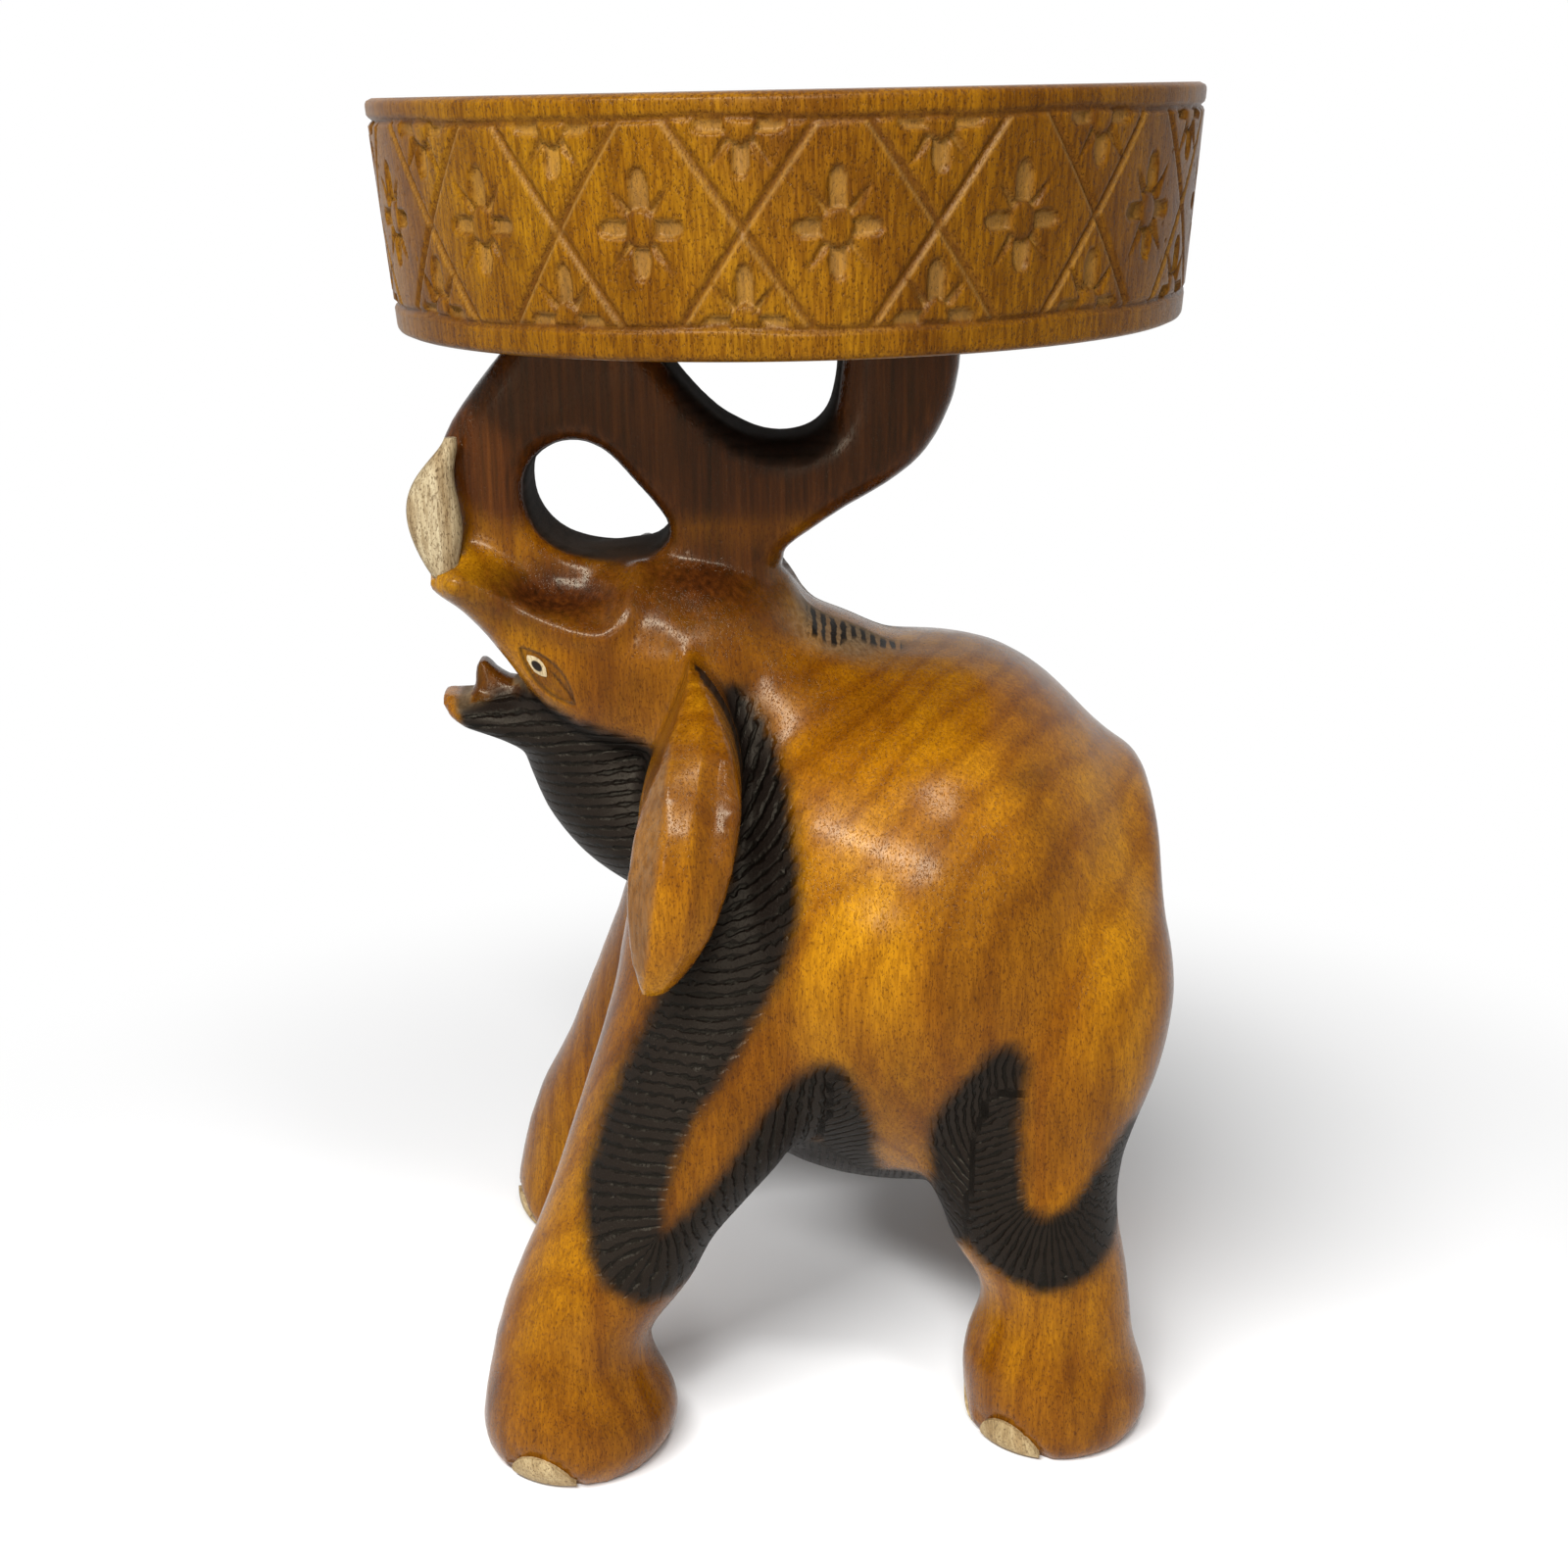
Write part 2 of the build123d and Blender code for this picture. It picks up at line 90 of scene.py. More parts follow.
def even_skin(form, size):
    """The same form as an even skin of square faces of this size, in metres."""
    block = new_piece(form, "block")
    remesh = block.modifiers.new("even", "REMESH")
    remesh.mode = "VOXEL"
    remesh.voxel_size = size
    depsgraph = bpy.context.evaluated_depsgraph_get()
    skin = bpy.data.meshes.new_from_object(block.evaluated_get(depsgraph))
    bpy.data.objects.remove(block)
    even = bmesh.new()
    even.from_mesh(skin)
    return even


def soft_step(low, high, value):
    """0 below low, 1 above high and an S-shaped rise between."""
    share = np.clip((value - low) / (high - low), 0, 1)
    return share * share * (3 - 2 * share)


def places(form):
    """Each vertex's place in millimetres."""
    return np.array([v.co for v in form.verts]) * 1000


def shares(form):
    """Each vertex's shares along the carving and up it, and its millimetres beside the middle."""
    at = places(form)
    along = (at[:, 0] - carving_low[0]) / carving_length
    return along, at[:, 2] / carving_height, np.abs(at[:, 1])


def facings(form):
    """Each vertex's normal."""
    form.normal_update()
    return np.array([v.normal for v in form.verts])


def push(form, depth):
    """Moves the skin out along its normals, by so many millimetres for each vertex."""
    for vertex, normal, far in zip(form.verts, facings(form), depth):
        if far:
            vertex.co += Vector(normal) * (float(far) / 1000)


def fair(form, chosen, times):
    """Rubs the chosen vertices down towards their neighbours."""
    for _ in range(times):
        bmesh.ops.smooth_vert(
            form, verts=chosen, factor=0.5, use_axis_x=True, use_axis_y=True, use_axis_z=True
        )


def refine(form, chosen):
    """Halves the mesh where all of a face's vertices are chosen."""
    marked = set(v for v, yes in zip(form.verts, chosen) if yes)
    edges = {e for f in form.faces if all(v in marked for v in f.verts) for e in f.edges}
    bmesh.ops.subdivide_edges(form, edges=list(edges), cuts=1, use_grid_fill=True, smooth=0.0)


def smooth_line(points, parts=8):
    """A Catmull-Rom curve through rows of numbers, as short straight steps."""
    ends = np.array([points[0], *points, points[-1]], float)
    line = []
    for a, b, c, d in zip(ends, ends[1:], ends[2:], ends[3:]):
        for share in np.arange(parts) / parts:
            line.append(0.5 * (
                2 * b + (c - a) * share + (2 * a - 5 * b + 4 * c - d) * share**2
                + (3 * b - a - 3 * c + d) * share**3
            ))
    return np.array([*line, ends[-2]])


def gap_to(points, at):
    """How far each place lies from a curve through these side-view shares, in millimetres."""
    line = smooth_line([side_place(*point) for point in points])
    nearest = np.full(len(at), 1e9)
    for start, end in zip(line, line[1:]):
        step = end - start
        share = np.clip((at[:, [0, 2]] - start) @ step / (step @ step), 0, 1)
        gap = at[:, [0, 2]] - start - share[:, None] * step
        nearest = np.minimum(nearest, np.linalg.norm(gap, axis=1))
    return nearest


carving_form = even_skin(merged_copy(["carved_elephant", *eye_names, *nail_names]), skin_mesh)

# Legs, barrel and neck are rubbed down well; head, trunk and ears only lose their tool edges.
foot_top = 0.12 * carving_height / 1000
shoulder = 0.45 * carving_height / 1000
ear_back = side_place(0.43, 0)[0] / 1000
body_rubs = 16
last_rubs = 2
body = [
    v for v in carving_form.verts if v.co.z > foot_top and (v.co.x > ear_back or v.co.z < shoulder)
]
fair(carving_form, body, body_rubs)
fair(carving_form, carving_form.verts[:], last_rubs)

# The head is fine work, so its mesh is halved there, and once more round each eye.
eye_middle = np.array(side_place(0.146, 0.709))
eye_lean = math.radians(48)  # the eye slopes down towards the ear
fine_middle = eye_middle + [4, -4]
fine_reach = 17
beside_eyes = 22  # millimetres from the middle; the face's flanks lie further out
along, up, beside = shares(carving_form)
refine(carving_form, (along < 0.40) & (up > 0.64) & (up < 0.83))
from_eye = np.linalg.norm(places(carving_form)[:, [0, 2]] - fine_middle, axis=1)
along, up, beside = shares(carving_form)
refine(carving_form, (from_eye < fine_reach) & (beside > beside_eyes))

# Neck and barrel reach this far to the side where the ear hangs from them; beyond lies the ear.
ear_heights = (0.46, 0.52, 0.60, 0.65, 0.72)
neck_reaches = (93, 88, 70, 60, 52)
along, up, beside = shares(carving_form)
neck_reach = np.interp(up, ear_heights, neck_reaches)
refine(
    carving_form,
    (beside > neck_reach + 3) & (up > 0.445) & (up < 0.73) & (along > 0.25) & (along < 0.44),
)

at = places(carving_form)
along, up, beside = shares(carving_form)
facing = facings(carving_form)
outward = facing[:, 1] * np.sign(at[:, 1])
neck_reach = np.interp(up, ear_heights, neck_reaches)
on_ear = soft_step(0, 5, beside - neck_reach) * (along < 0.44) * (up > 0.452) * (along > 0.24)
on_head = (along < 0.44) & (up > 0.62) & (on_ear < 0.5)

# The ear's thick rim is cut in three facets that meet in two ridges from its root to its tip.
front_ridge = np.interp(up, (0.46, 0.51, 0.62, 0.72), (0.283, 0.300, 0.323, 0.338))
back_ridge = np.interp(
    up, (0.46, 0.51, 0.58, 0.62, 0.67, 0.72), (0.300, 0.336, 0.349, 0.357, 0.368, 0.362)
)
rim_height = 2.0
rim_drop = 2.6
ahead = (front_ridge - along) * carving_length
behind = (along - back_ridge) * carving_length
ear_rim = on_ear * soft_step(0.1, 0.45, outward)
facets = rim_height - 0.65 * np.maximum(ahead, 0) - 0.55 * np.maximum(behind, 0)
facets -= 0.10 * np.maximum(-ahead, 0)
facets = np.clip(facets, -rim_drop, rim_height) * on_ear
facets *= soft_step(-0.5, -0.1, outward) * soft_step(0.715, 0.68, up)
for vertex, out in zip(carving_form.verts, facets * np.sign(at[:, 1])):
    vertex.co.y += float(out) / 1000


def hollow(along_middle, up_middle, along_half, up_half):
    """A round hollow in side view: 1 at its middle and falling away all round."""
    return np.exp(-(((along - along_middle) / along_half) ** 2 + ((up - up_middle) / up_half) ** 2))


# The brow runs from the lip back under the temple and then turns up to the crown.  The temple is
# scooped, a dimple lies behind it, and a fold of skin runs down the back of the neck's flank.
brow = [(0.05, 0.785), (0.11, 0.765), (0.165, 0.745), (0.235, 0.735), (0.272, 0.76), (0.285, 0.80)]
brow_height = 2.8
brow_half_wide = 4.2
temple_depth = 2.6
dimple_depth = 1.1
neck_fold = [(0.465, 0.79), (0.485, 0.75), (0.515, 0.72)]
fold_height = 1.5
fold_half_wide = 2.6
on_face = soft_step(20, 26, beside) * on_head
depth = brow_height * np.exp(-(gap_to(brow, at) / brow_half_wide) ** 2) * on_face
depth -= temple_depth * hollow(0.19, 0.782, 0.055, 0.021) * on_face
depth -= dimple_depth * hollow(0.345, 0.76, 0.018, 0.012) * on_face
fold = np.exp(-(gap_to(neck_fold, at) / fold_half_wide) ** 2) * (beside > 8) * (along < 0.55)
depth += fold_height * fold

# Each eye lies in a leaf-shaped socket with cut lids and a wrinkle behind it.
socket_middle = 5  # millimetres down the lean from the eye's middle
socket_half_long = 13.5
socket_half_wide = 4.9
socket_depth = 1.1
lid_width = 0.9
wrinkle_width = 0.8
lid_depth = 0.5
to_eye = at[:, [0, 2]] - eye_middle
along_lid = to_eye[:, 0] * math.cos(eye_lean) - to_eye[:, 1] * math.sin(eye_lean)
across_lid = to_eye[:, 0] * math.sin(eye_lean) + to_eye[:, 1] * math.cos(eye_lean)
from_socket = along_lid - socket_middle
socket_edge = socket_half_wide * (1 - (from_socket / socket_half_long) ** 2)
on_flank = (beside > beside_eyes) * on_head
in_socket = soft_step(-0.3, 1.0, socket_edge - np.abs(across_lid)) * on_flank
lid_line = np.clip(1 - np.abs(np.abs(across_lid) - socket_edge) / lid_width, 0, 1)
wrinkle = np.clip(1 - np.abs(across_lid - 0.35 * socket_edge) / wrinkle_width, 0, 1)
wrinkle *= soft_step(3.5, 6, along_lid)
lids = np.maximum(lid_line, wrinkle) * (np.abs(from_socket) < socket_half_long) * on_flank
depth -= socket_depth * in_socket + lid_depth * lids

# The knife leaves the sanded wood very slightly uneven.
tool_play = 0.30
long_waves = 48  # in a metre
short_waves = 110
depth += tool_play * np.array([
    noise.noise(v.co * long_waves) + 0.5 * noise.noise(v.co * short_waves)
    for v in carving_form.verts
])

# The skin sinks round each nail, so that the nail stands in a bed, and the soles are sanded flat.
nail_reach = 0.0024  # metres
bed_depth = 1.3
nails_tree = BVHTree.FromBMesh(merged_copy(nail_names))
near_nail = np.array([
    nails_tree.find_nearest(v.co)[3] < nail_reach for v in carving_form.verts
])
depth -= bed_depth * near_nail
push(carving_form, depth)
for vertex in carving_form.verts:
    vertex.co.z = max(vertex.co.z, 0)

# ---------------------------------------------------------------- hair, scorching, stain and painted shade
# Bands of hair are cut with a V-tool and scorched black with a torch.  The trunk, temples and crown
# are darkened by stain and by painted shade, and the nape and the inside of the jaw are left grey.

# Each band is a line that its strokes cross.  A row is a place as shares of the carving's length
# and height, half the band's width in millimetres, and how far the strokes turn from square.
behind_ear_and_leg = [
    (0.40, 0.675, 5, -45), (0.43, 0.62, 8, -50), (0.44, 0.56, 9, -50), (0.42, 0.50, 12, -45),
    (0.365, 0.435, 14, -32), (0.29, 0.35, 12, -25), (0.25, 0.27, 12, -12), (0.262, 0.215, 11, 0),
    (0.325, 0.212, 11, 25), (0.41, 0.272, 9, 48), (0.48, 0.325, 11, 60), (0.52, 0.37, 4, 62),
]
under_belly = [
    (0.52, 0.37, 4, -20), (0.532, 0.32, 8, -20), (0.548, 0.26, 7, -10), (0.58, 0.20, 4, 0),
    (0.66, 0.195, 4, 10), (0.69, 0.25, 8, 35), (0.70, 0.315, 11, 62), (0.74, 0.38, 6, 62),
]
rear_leg = [
    (0.735, 0.375, 6, -45), (0.715, 0.31, 11, -30), (0.725, 0.235, 12, -12),
    (0.795, 0.205, 12, 0), (0.865, 0.225, 11, 0), (0.925, 0.29, 6, 0),
]
leg_pitch = 3.8
rear_pitch = 2.7
scorch_fade = 6.5
off_flank = 16  # millimetres by which a band dies out where the skin turns away
off_ear = 40
off_inner_side = 30
nowhere = 99.0  # millimetres outside, which no torch reaches


def hair_band(rows, pitch):
    """How deep each place lies inside a band, and its count of strokes along it."""
    line = smooth_line([(*side_place(row[0], row[1]), row[2], row[3]) for row in rows])
    best = np.full(len(at), -nowhere)
    count = np.zeros(len(at))
    walked = 0.0
    for start, end in zip(line, line[1:]):
        length = np.linalg.norm(end[:2] - start[:2])
        course = (end[:2] - start[:2]) / length
        middle = (start + end) / 2
        turn = math.radians(middle[3])
        share = np.clip((at[:, [0, 2]] - start[:2]) @ course, 0, length)
        gap = at[:, [0, 2]] - start[:2] - share[:, None] * course
        inside = middle[2] - np.linalg.norm(gap, axis=1)
        aside = gap[:, 0] * course[1] - gap[:, 1] * course[0]
        closer = inside > best
        best = np.where(closer, inside, best)
        here = walked + (share * math.cos(turn) + aside * math.sin(turn)) / pitch
        count = np.where(closer, here, count)
        walked += length * math.cos(turn) / pitch
    return best, count


hair = np.full(len(at), -nowhere)
strokes = np.zeros(len(at))
for rows, pitch in (
    (behind_ear_and_leg, leg_pitch), (under_belly, rear_pitch), (rear_leg, rear_pitch),
):
    inside, count = hair_band(rows, pitch)
    strokes = np.where(inside > hair, count, strokes)
    hair = np.maximum(hair, inside)
# The bands lie on the flanks only, fade round onto the inner sides and miss the ear's face.
inner_side = np.interp(up, (0.45, 0.58), (50, 26))
hair = hair - off_flank * soft_step(0.2, -0.3, outward) - off_ear * on_ear
hair -= off_inner_side * soft_step(inner_side, inner_side - 12, beside)

# The back of the ear is scorched near its root, and so is the neck under it.
root_reach = 14
ear_root = root_reach - (beside - neck_reach) - 22 * soft_step(0.75, 0.3, facing[:, 0])
ear_root -= nowhere * (on_ear < 0.3)
# The belly is scorched between the legs, and the throat from jaw tip and cheek to the chest.
belly_half_wide = 74
belly_rim = np.interp(
    along, (0.42, 0.52, 0.565, 0.665, 0.70, 0.74), (0.30, 0.33, 0.245, 0.24, 0.30, 0.32)
)
belly = np.minimum.reduce([
    -facing[:, 2] * 22 - 6, (belly_rim - up) * carving_height,
    (along - 0.40) * carving_length, (0.76 - along) * carving_length, belly_half_wide - beside,
])
throat_half_wide = 47
throat_half_high = 40
cheek_edge = np.interp(
    along, (0.03, 0.08, 0.14, 0.20, 0.29, 0.40), (0.652, 0.660, 0.670, 0.650, 0.630, 0.62)
)
under_throat = np.maximum(0.575 - up, 0) * carving_height
throat_oval = np.hypot(beside / throat_half_wide, under_throat / throat_half_high)
throat = np.minimum.reduce([
    (cheek_edge - up) * carving_height, 44 * (1 - throat_oval),
    (along - 0.035) * carving_length, (0.40 - along) * carving_length,
]) - off_ear * on_ear
for region, count in (
    (ear_root, at[:, 2] / leg_pitch), (belly, at[:, 0] / rear_pitch),
    (throat, (at[:, 2] - 0.10 * at[:, 0]) / leg_pitch),
):
    strokes = np.where(region > hair, count, strokes)
    hair = np.maximum(hair, region)
ragged_waves = 220  # in a metre
ragged = np.array([noise.noise(v.co * ragged_waves) for v in carving_form.verts])
burn = soft_step(-scorch_fade, 1.0, hair + 1.6 * ragged)
stroke_depth = soft_step(-2.5, 0.5, hair)


def airbrush(*spots):
    """Soft-edged patches.  Each is a place in shares, half its length and half its height in
    millimetres and its strength."""
    patch = np.zeros(len(at))
    for along_share, up_share, half_long, half_high, strength in spots:
        x, z = side_place(along_share, up_share)
        far = ((at[:, 0] - x) / half_long) ** 2 + ((at[:, 2] - z) / half_high) ** 2
        patch = np.maximum(patch, strength * np.exp(-far * 0.8))
    return patch


# The trunk, temple and crown are darkened: partly dark stain, partly painted shadow of the seat
# above them, and painted shade in the temple's hollow.
trunk = 0.97 * soft_step(0.80, 0.845, up - 0.05 * soft_step(0.10, 0.0, along))
temple_and_crown = airbrush(
    (0.17, 0.770, 34, 13, 1.1), (0.37, 0.780, 40, 20, 1.0), (0.45, 0.765, 14, 17, 0.75),
    (0.10, 0.85, 20, 16, 0.85), (0.44, 0.795, 4, 9, 0.95),
) * (up > 0.70)
# Painted shade darkens the cheek, the neck, the upper legs, the belly, the feet and a band on the
# back, and small dark spots lie on the rump and the feet.
shade_and_marks = airbrush(
    (0.28, 0.69, 26, 18, 0.45), (0.46, 0.70, 26, 14, 0.38), (0.44, 0.40, 30, 22, 0.26),
    (0.30, 0.31, 26, 40, 0.42), (0.60, 0.35, 60, 26, 0.42), (0.86, 0.33, 16, 18, 0.25),
    (0.25, 0.10, 30, 34, 0.24), (0.83, 0.08, 26, 30, 0.12), (0.62, 0.675, 40, 9, 0.30),
    (0.785, 0.62, 8, 3, 0.55), (0.27, 0.125, 5, 9, 0.4), (0.21, 0.06, 12, 6, 0.3),
    (0.34, 0.09, 6, 7, 0.35), (0.83, 0.10, 6, 12, 0.3),
)
tongue_root = np.interp(up, (0.662, 0.672), (0.16, 0.10))
tongue = soft_step(0.655, 0.668, up) * (up < 0.695) * (along < tongue_root) * (along > 0.042)
tongue = tongue * soft_step(14, 10, beside)
# Painted shade also darkens the ear's back facet towards its back edge, and the eye sockets.
stain = np.maximum.reduce([
    np.minimum(np.maximum(trunk, temple_and_crown), 1), shade_and_marks,
    ear_rim * np.clip(0.06 * behind, 0, 0.5), 0.5 * in_socket, 0.85 * tongue,
])

# The walls of the trunk's holes are scorched.  The edge under the seat between them is darkened
# too, partly as scorching and partly as painted shadow of the seat.
hole_half_wide = 30
hole_bottom = np.where(along < 0.40, 0.775, 0.875)
in_hole = (up > hole_bottom) * (along > 0.13) * (along < 0.62) * soft_step(0.45, 0.75, 1 - outward)
facing_in = in_hole * soft_step(0.1, 0.5, np.abs(facing[:, 2]) + 0.4 * np.abs(facing[:, 0]))
burn = np.maximum(burn, 0.95 * facing_in * (beside < hole_half_wide))
gap_floor = (facing[:, 2] > 0.6) & (up > 0.88) & (along > 0.33) & (along < 0.64)
gap_floor &= beside < hole_half_wide
floor_tree = kdtree.KDTree(int(gap_floor.sum()))
for number, vertex in enumerate(np.array(carving_form.verts)[gap_floor]):
    floor_tree.insert(vertex.co, number)
floor_tree.balance()
from_floor = np.array([floor_tree.find(v.co)[2] * 1000 for v in carving_form.verts])
# Painted shadow under the seat, partly scorching: the burn share rises near the floor of the gap.
burn = np.maximum(burn, 0.9 * soft_step(9, 2.5, from_floor + 1.5 * ragged) * (up > 0.80))
burn = np.maximum(burn, 0.85 * lids)

# Bare grey wood shows on the nape and inside the jaw, and the ear's front facet is faintly greyed
# as painted shade.
nape_patch = airbrush((0.585, 0.722, 22, 7, 1.0), (0.515, 0.745, 9, 10, 1.0)) * (up > 0.69)
nape_patch *= soft_step(6, 10, beside) * soft_step(36, 28, beside)
jaw_top = (along < 0.15) * (up > 0.650) * (up < 0.705) * (tongue < 0.2)
jaw_top = jaw_top * soft_step(0.018, 0.03, along) * soft_step(-0.1, 0.3, facing[:, 2])
grey = np.maximum.reduce([
    nape_patch, 0.9 * jaw_top, 0.4 * ear_rim * soft_step(0.0, 2.5, ahead),
])
# A row of short upright cuts crosses the nape on each side of the crest.
nape_pitch = 3.5
stroke_end = np.interp(along, (0.545, 0.56, 0.64), (27, 20, 17))
nape = soft_step(9, 11.5, beside) * soft_step(stroke_end + 2, stroke_end - 1, beside)
nape *= soft_step(0.495, 0.503, along) * soft_step(0.637, 0.63, along) * (up > 0.69) * (up < 0.80)
strokes = np.where(nape > 0, at[:, 0] / nape_pitch, strokes)

# A painted highlight lightens the lip, the jaw tip, the back, the crest, the neck's fold and the
# ear's rim; on the ear's edges it also stands for wear.
crest = soft_step(13, 8, beside) * soft_step(0.50, 0.54, along) * soft_step(0.85, 0.70, along)
crest *= up > 0.60
# Painted highlight on the ear's two ridges and the face between them, partly wear on its edges.
rim_highlight_and_wear = np.maximum(np.exp(-(ahead / 1.1) ** 2), 0.7 * np.exp(-(behind / 1.1) ** 2))
rim_highlight_and_wear = np.maximum(rim_highlight_and_wear, 0.55 * (ahead < 0) * (behind < 0))
glow = np.maximum.reduce([
    airbrush(
        (0.02, 0.785, 12, 9, 0.9), (0.03, 0.69, 6, 6, 1.0), (0.66, 0.53, 46, 20, 0.6),
        (0.77, 0.60, 22, 14, 0.7),
    ),
    ear_rim * rim_highlight_and_wear, 0.7 * fold, 0.45 * crest,
])


def keep_values(piece, **values):
    """Stores one number for each vertex, for the material to read by its name."""
    for name, numbers in values.items():
        layer = piece.data.attributes.new(name, "FLOAT", "POINT")
        layer.data.foreach_set("value", np.asarray(numbers, dtype=np.float32))


def linear(hex_colour):
    """An sRGB hex value as the linear colour that a shader takes."""
    parts = [int(hex_colour[i:i + 2], 16) / 255 for i in (1, 3, 5)]
    return [*(p / 12.92 if p <= 0.04045 else ((p + 0.055) / 1.055) ** 2.4 for p in parts), 1.0]


def add(material, kind, settings=None, out=0, **links):
    """Adds one node and gives back one of its outputs.  Settings are its own, with stops for a
    colour ramp's; links go to its sockets by name, or by s and a number."""
    node = material.node_tree.nodes.new(kind)
    for name, value in (settings or {}).items():
        if name != "stops":
            setattr(node, name, value)
            continue
        while len(node.color_ramp.elements) < len(value):
            node.color_ramp.elements.new(1.0)
        for element, (place, colour) in zip(node.color_ramp.elements, value):
            element.position = place
            element.color = linear(colour)
    for name, value in links.items():
        key = int(name[1:]) if name[0] == "s" and name[1:].isdigit() else name.replace("_", " ")
        if isinstance(value, bpy.types.NodeSocket):
            material.node_tree.links.new(value, node.inputs[key])
        else:
            node.inputs[key].default_value = linear(value) if isinstance(value, str) else value
    return node.outputs[out]


def feed(material, socket, value):
    """Links a value to one of the shader's own sockets."""
    shader = material.node_tree.nodes["Principled BSDF"]
    material.node_tree.links.new(value, shader.inputs[socket])


# Settings of the mixing and reckoning nodes.  A colour mix takes its share in socket 0 and its two
# colours in 6 and 7, and gives its colour in output 2.
over = {"data_type": "RGBA"}
colour = 2
times = {"data_type": "RGBA", "blend_type": "MULTIPLY"}
plus = {"operation": "ADD"}
minus = {"operation": "SUBTRACT"}
product = {"operation": "MULTIPLY"}
larger = {"operation": "MAXIMUM"}


def upright_grain(material, size, stretch, detail=4.0, shift=0.0):
    """Noise drawn out along the log: its width in millimetres, and how many times as long."""
    place = add(material, "ShaderNodeTexCoord", out="Object")
    drawn = add(material, "ShaderNodeMapping", Vector=place, Scale=(1, 1, 1 / stretch),
                Location=(shift, shift, 0))
    return add(material, "ShaderNodeTexNoise", out="Fac", Vector=drawn, Scale=1000 / size,
               Detail=detail, Roughness=0.6)


def wood(name, light, middle, dark, roughness=0.20, shine=0.145, fibre=0.5):
    """Upright-grained wood under a thin amber lacquer.  Returns the material, its colour so far,
    its uneven gloss, and how high its fibres and pores stand."""
    material = bpy.data.materials.new(name)
    material.use_nodes = True
    cloud_size = 60  # millimetres, as all of these are
    ring_spacing = 10.472
    streak_width = 4
    fibre_width = 1.0  # coarser than the real fibres, which would not show
    pore_width = 0.5
    pith_place = (0.025, -0.018, 0)
    ring_stretch = 0.22  # the rings change this much more slowly up the log than across it
    clouds = upright_grain(material, cloud_size, 2.0, 3.0)
    tone = add(material, "ShaderNodeValToRGB",
               {"stops": ((0.36, dark), (0.5, middle), (0.64, light))}, Fac=clouds)
    place = add(material, "ShaderNodeTexCoord", out="Object")
    pith = add(material, "ShaderNodeMapping", Vector=place, Location=pith_place,
               Scale=(1, 1, ring_stretch))
    rings = add(material, "ShaderNodeTexWave", {"wave_type": "RINGS", "rings_direction": "Z"},
                out="Fac", Vector=pith, Scale=2000 * math.pi / (20 * ring_spacing),
                Distortion=5.0, Detail=4.0, Detail_Scale=0.8)
    streaks = upright_grain(material, streak_width, 14, 4.0, 0.31)
    fibres = upright_grain(material, fibre_width, 9, 3.0, 0.57)
    pores = upright_grain(material, pore_width, 2.6, 1.0, 0.83)
    for share, pattern, first, second in (
        (fibre, rings, (0.0, "#C4AE90"), (0.5, "#FFFFFF")),
        (0.7 * fibre, streaks, (0.36, "#B9A88E"), (0.6, "#FFFFFF")),
        (fibre, fibres, (0.36, "#A08A6C"), (0.62, "#FFFFFF")),
        (0.6, pores, (0.56, "#FFFFFF"), (0.68, "#80603C")),
    ):
        shade = add(material, "ShaderNodeValToRGB", {"stops": (first, second)}, Fac=pattern)
        tone = add(material, "ShaderNodeMix", times, out=colour, s0=share, s6=tone, s7=shade)
    raised = add(material, "ShaderNodeMapRange", Value=fibres, From_Min=0.35, From_Max=0.65,
                 To_Max=0.12)
    open_pores = add(material, "ShaderNodeMapRange", Value=pores, From_Min=0.56, From_Max=0.70)
    relief = add(material, "ShaderNodeMath", minus, s0=raised, s1=open_pores)
    gloss = add(material, "ShaderNodeMapRange", Value=streaks, From_Min=0.3, From_Max=0.7,
                To_Min=roughness - 0.03, To_Max=roughness + 0.06)
    feed(material, "Roughness", gloss)
    shader = material.node_tree.nodes["Principled BSDF"]
    shader.inputs["Specular IOR Level"].default_value = shine
    shader.inputs["Specular Tint"].default_value = linear("#FFF3D9")
    return material, tone, gloss, relief


# Rain tree under brown stain and lacquer: golden ochre with brown streaks running up the log and
# open pores that break up the shine.  The scorched hair is soot black between worn brown ridges.
log_wood, tone, gloss, relief = wood("stained_rain_tree", "#9F6906", "#885304", "#734404")
kept = {
    name: add(log_wood, "ShaderNodeAttribute", {"attribute_name": name}, out="Fac")
    for name in ("burn", "strokes", "stroke_depth", "nape", "stain", "grey", "glow")
}
# Painted highlight, partly wear: dividing the tone by a pale colour lightens it.
tone = add(log_wood, "ShaderNodeMix", {"data_type": "RGBA", "blend_type": "DIVIDE"}, out=colour,
           s0=kept["glow"], s6=tone, s7="#D8CBB0")
trunk_tone = add(log_wood, "ShaderNodeValToRGB",
                 {"stops": ((0.30, "#241004"), (0.5, "#371906"), (0.70, "#4B260A"))},
                 Fac=upright_grain(log_wood, 2.2, 26, 4.0, 0.19))
# Stain and painted shade both darken the tone here towards the trunk's dark brown.
tone = add(log_wood, "ShaderNodeMix", over, out=colour, s0=kept["stain"], s6=tone, s7=trunk_tone)
bare_tone = add(log_wood, "ShaderNodeValToRGB", {"stops": ((0.35, "#53432F"), (0.65, "#74624A"))},
                Fac=upright_grain(log_wood, 1.5, 5, 3.0, 0.4))
tone = add(log_wood, "ShaderNodeMix", over, out=colour, s0=kept["grey"], s6=tone, s7=bare_tone)

